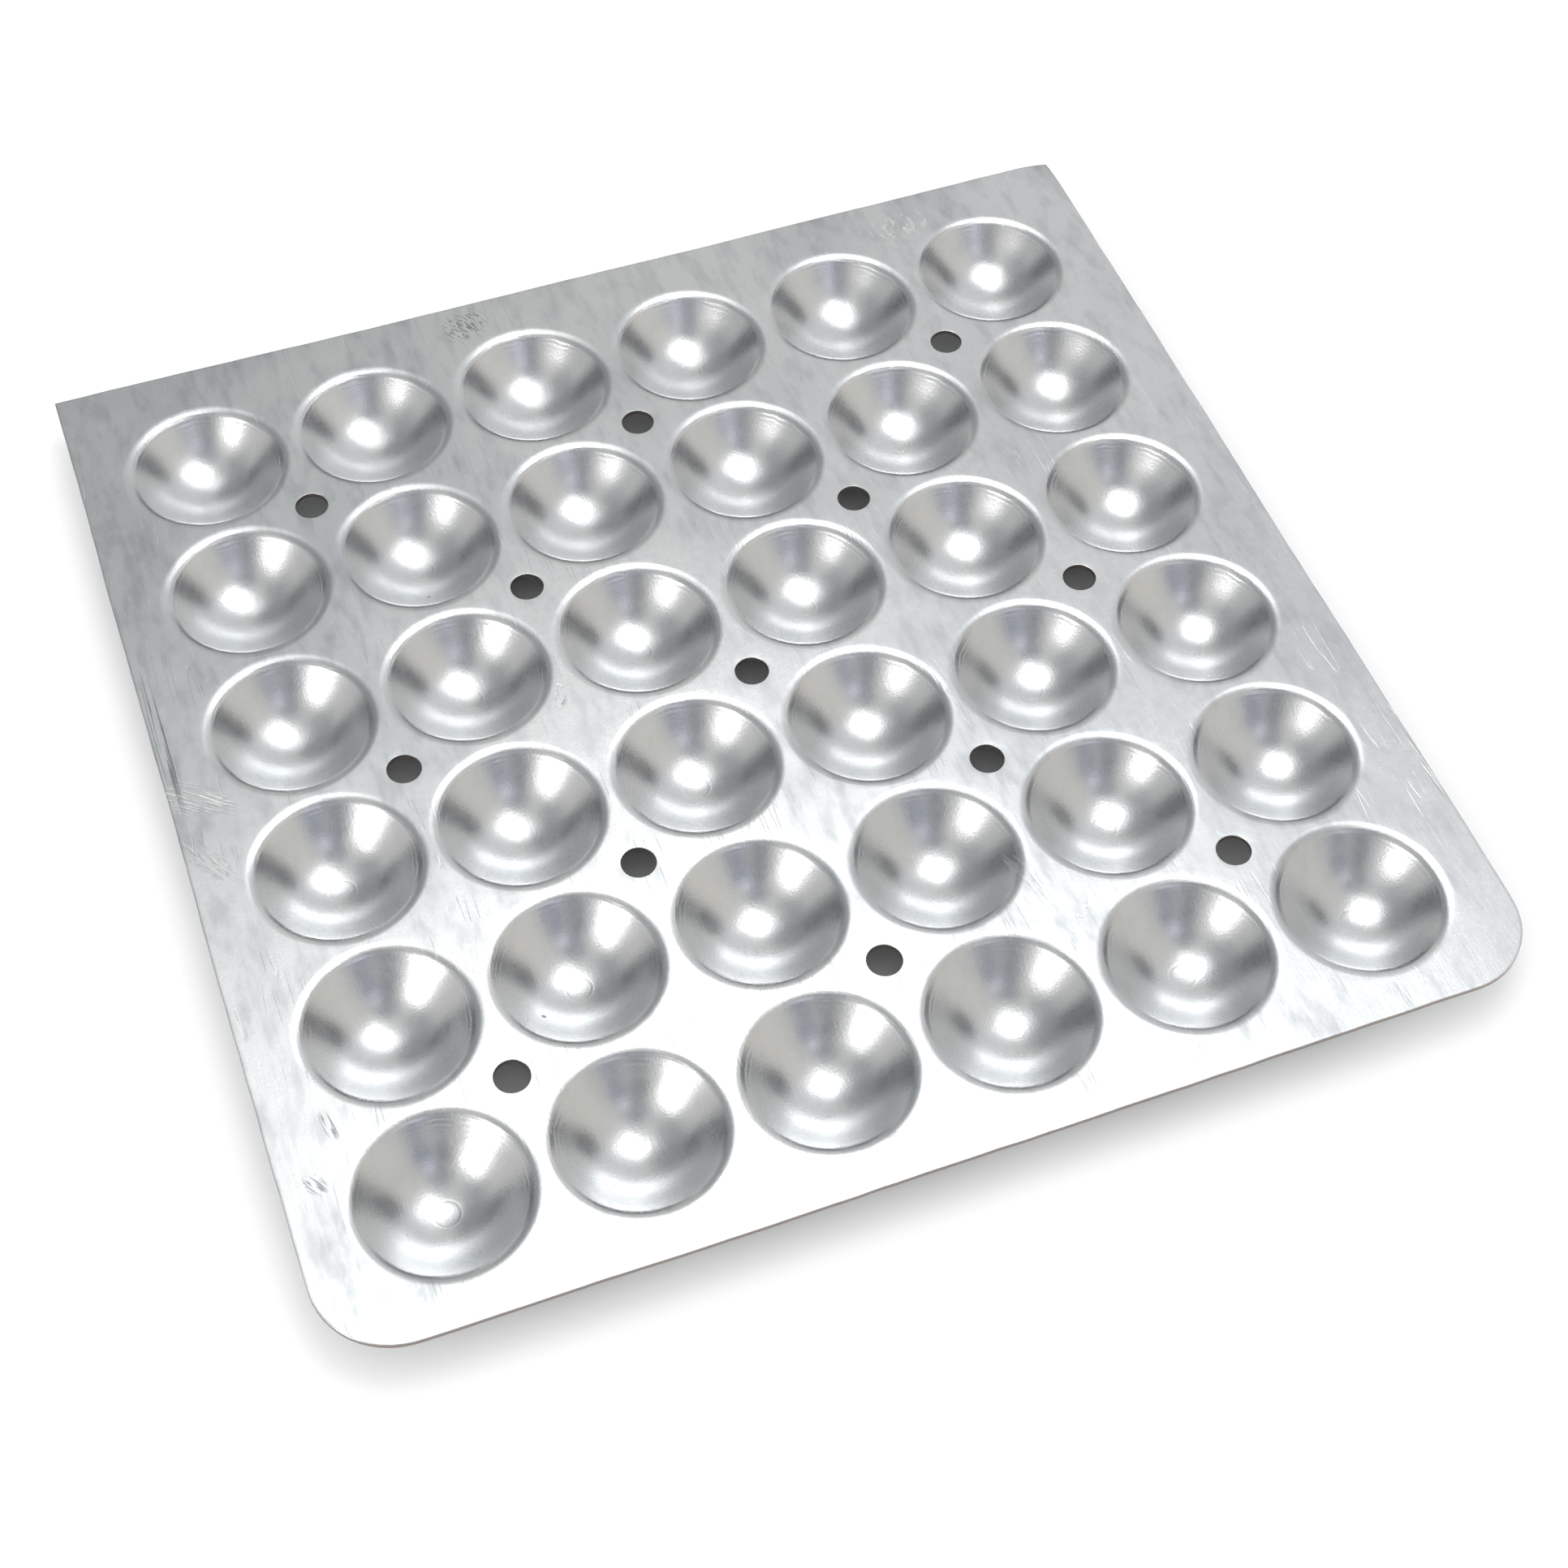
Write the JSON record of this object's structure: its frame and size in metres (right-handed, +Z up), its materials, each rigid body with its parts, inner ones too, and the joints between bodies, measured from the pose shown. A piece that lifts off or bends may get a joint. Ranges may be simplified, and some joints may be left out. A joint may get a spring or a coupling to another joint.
{
  "type": "pill counting tray",
  "caption": "Flat square pressed aluminium sheet with a grid of dished round wells, punched holes between them and two rounded corners.",
  "frame": {"origin": "middle of the sheet's outline, at the height of the surface that the wells' rounded ends stand on", "axes": "+Z up out of the wells' mouths; +X to the right and +Y away from the rounded near edge, towards the edge with two square corners"},
  "size_m": [0.165, 0.165, 0.0071],
  "materials": {
    "tray": "satin, lightly worn"
  },
  "bodies": {
    "root": {"tray": "tray"}
  },
  "joints": []
}
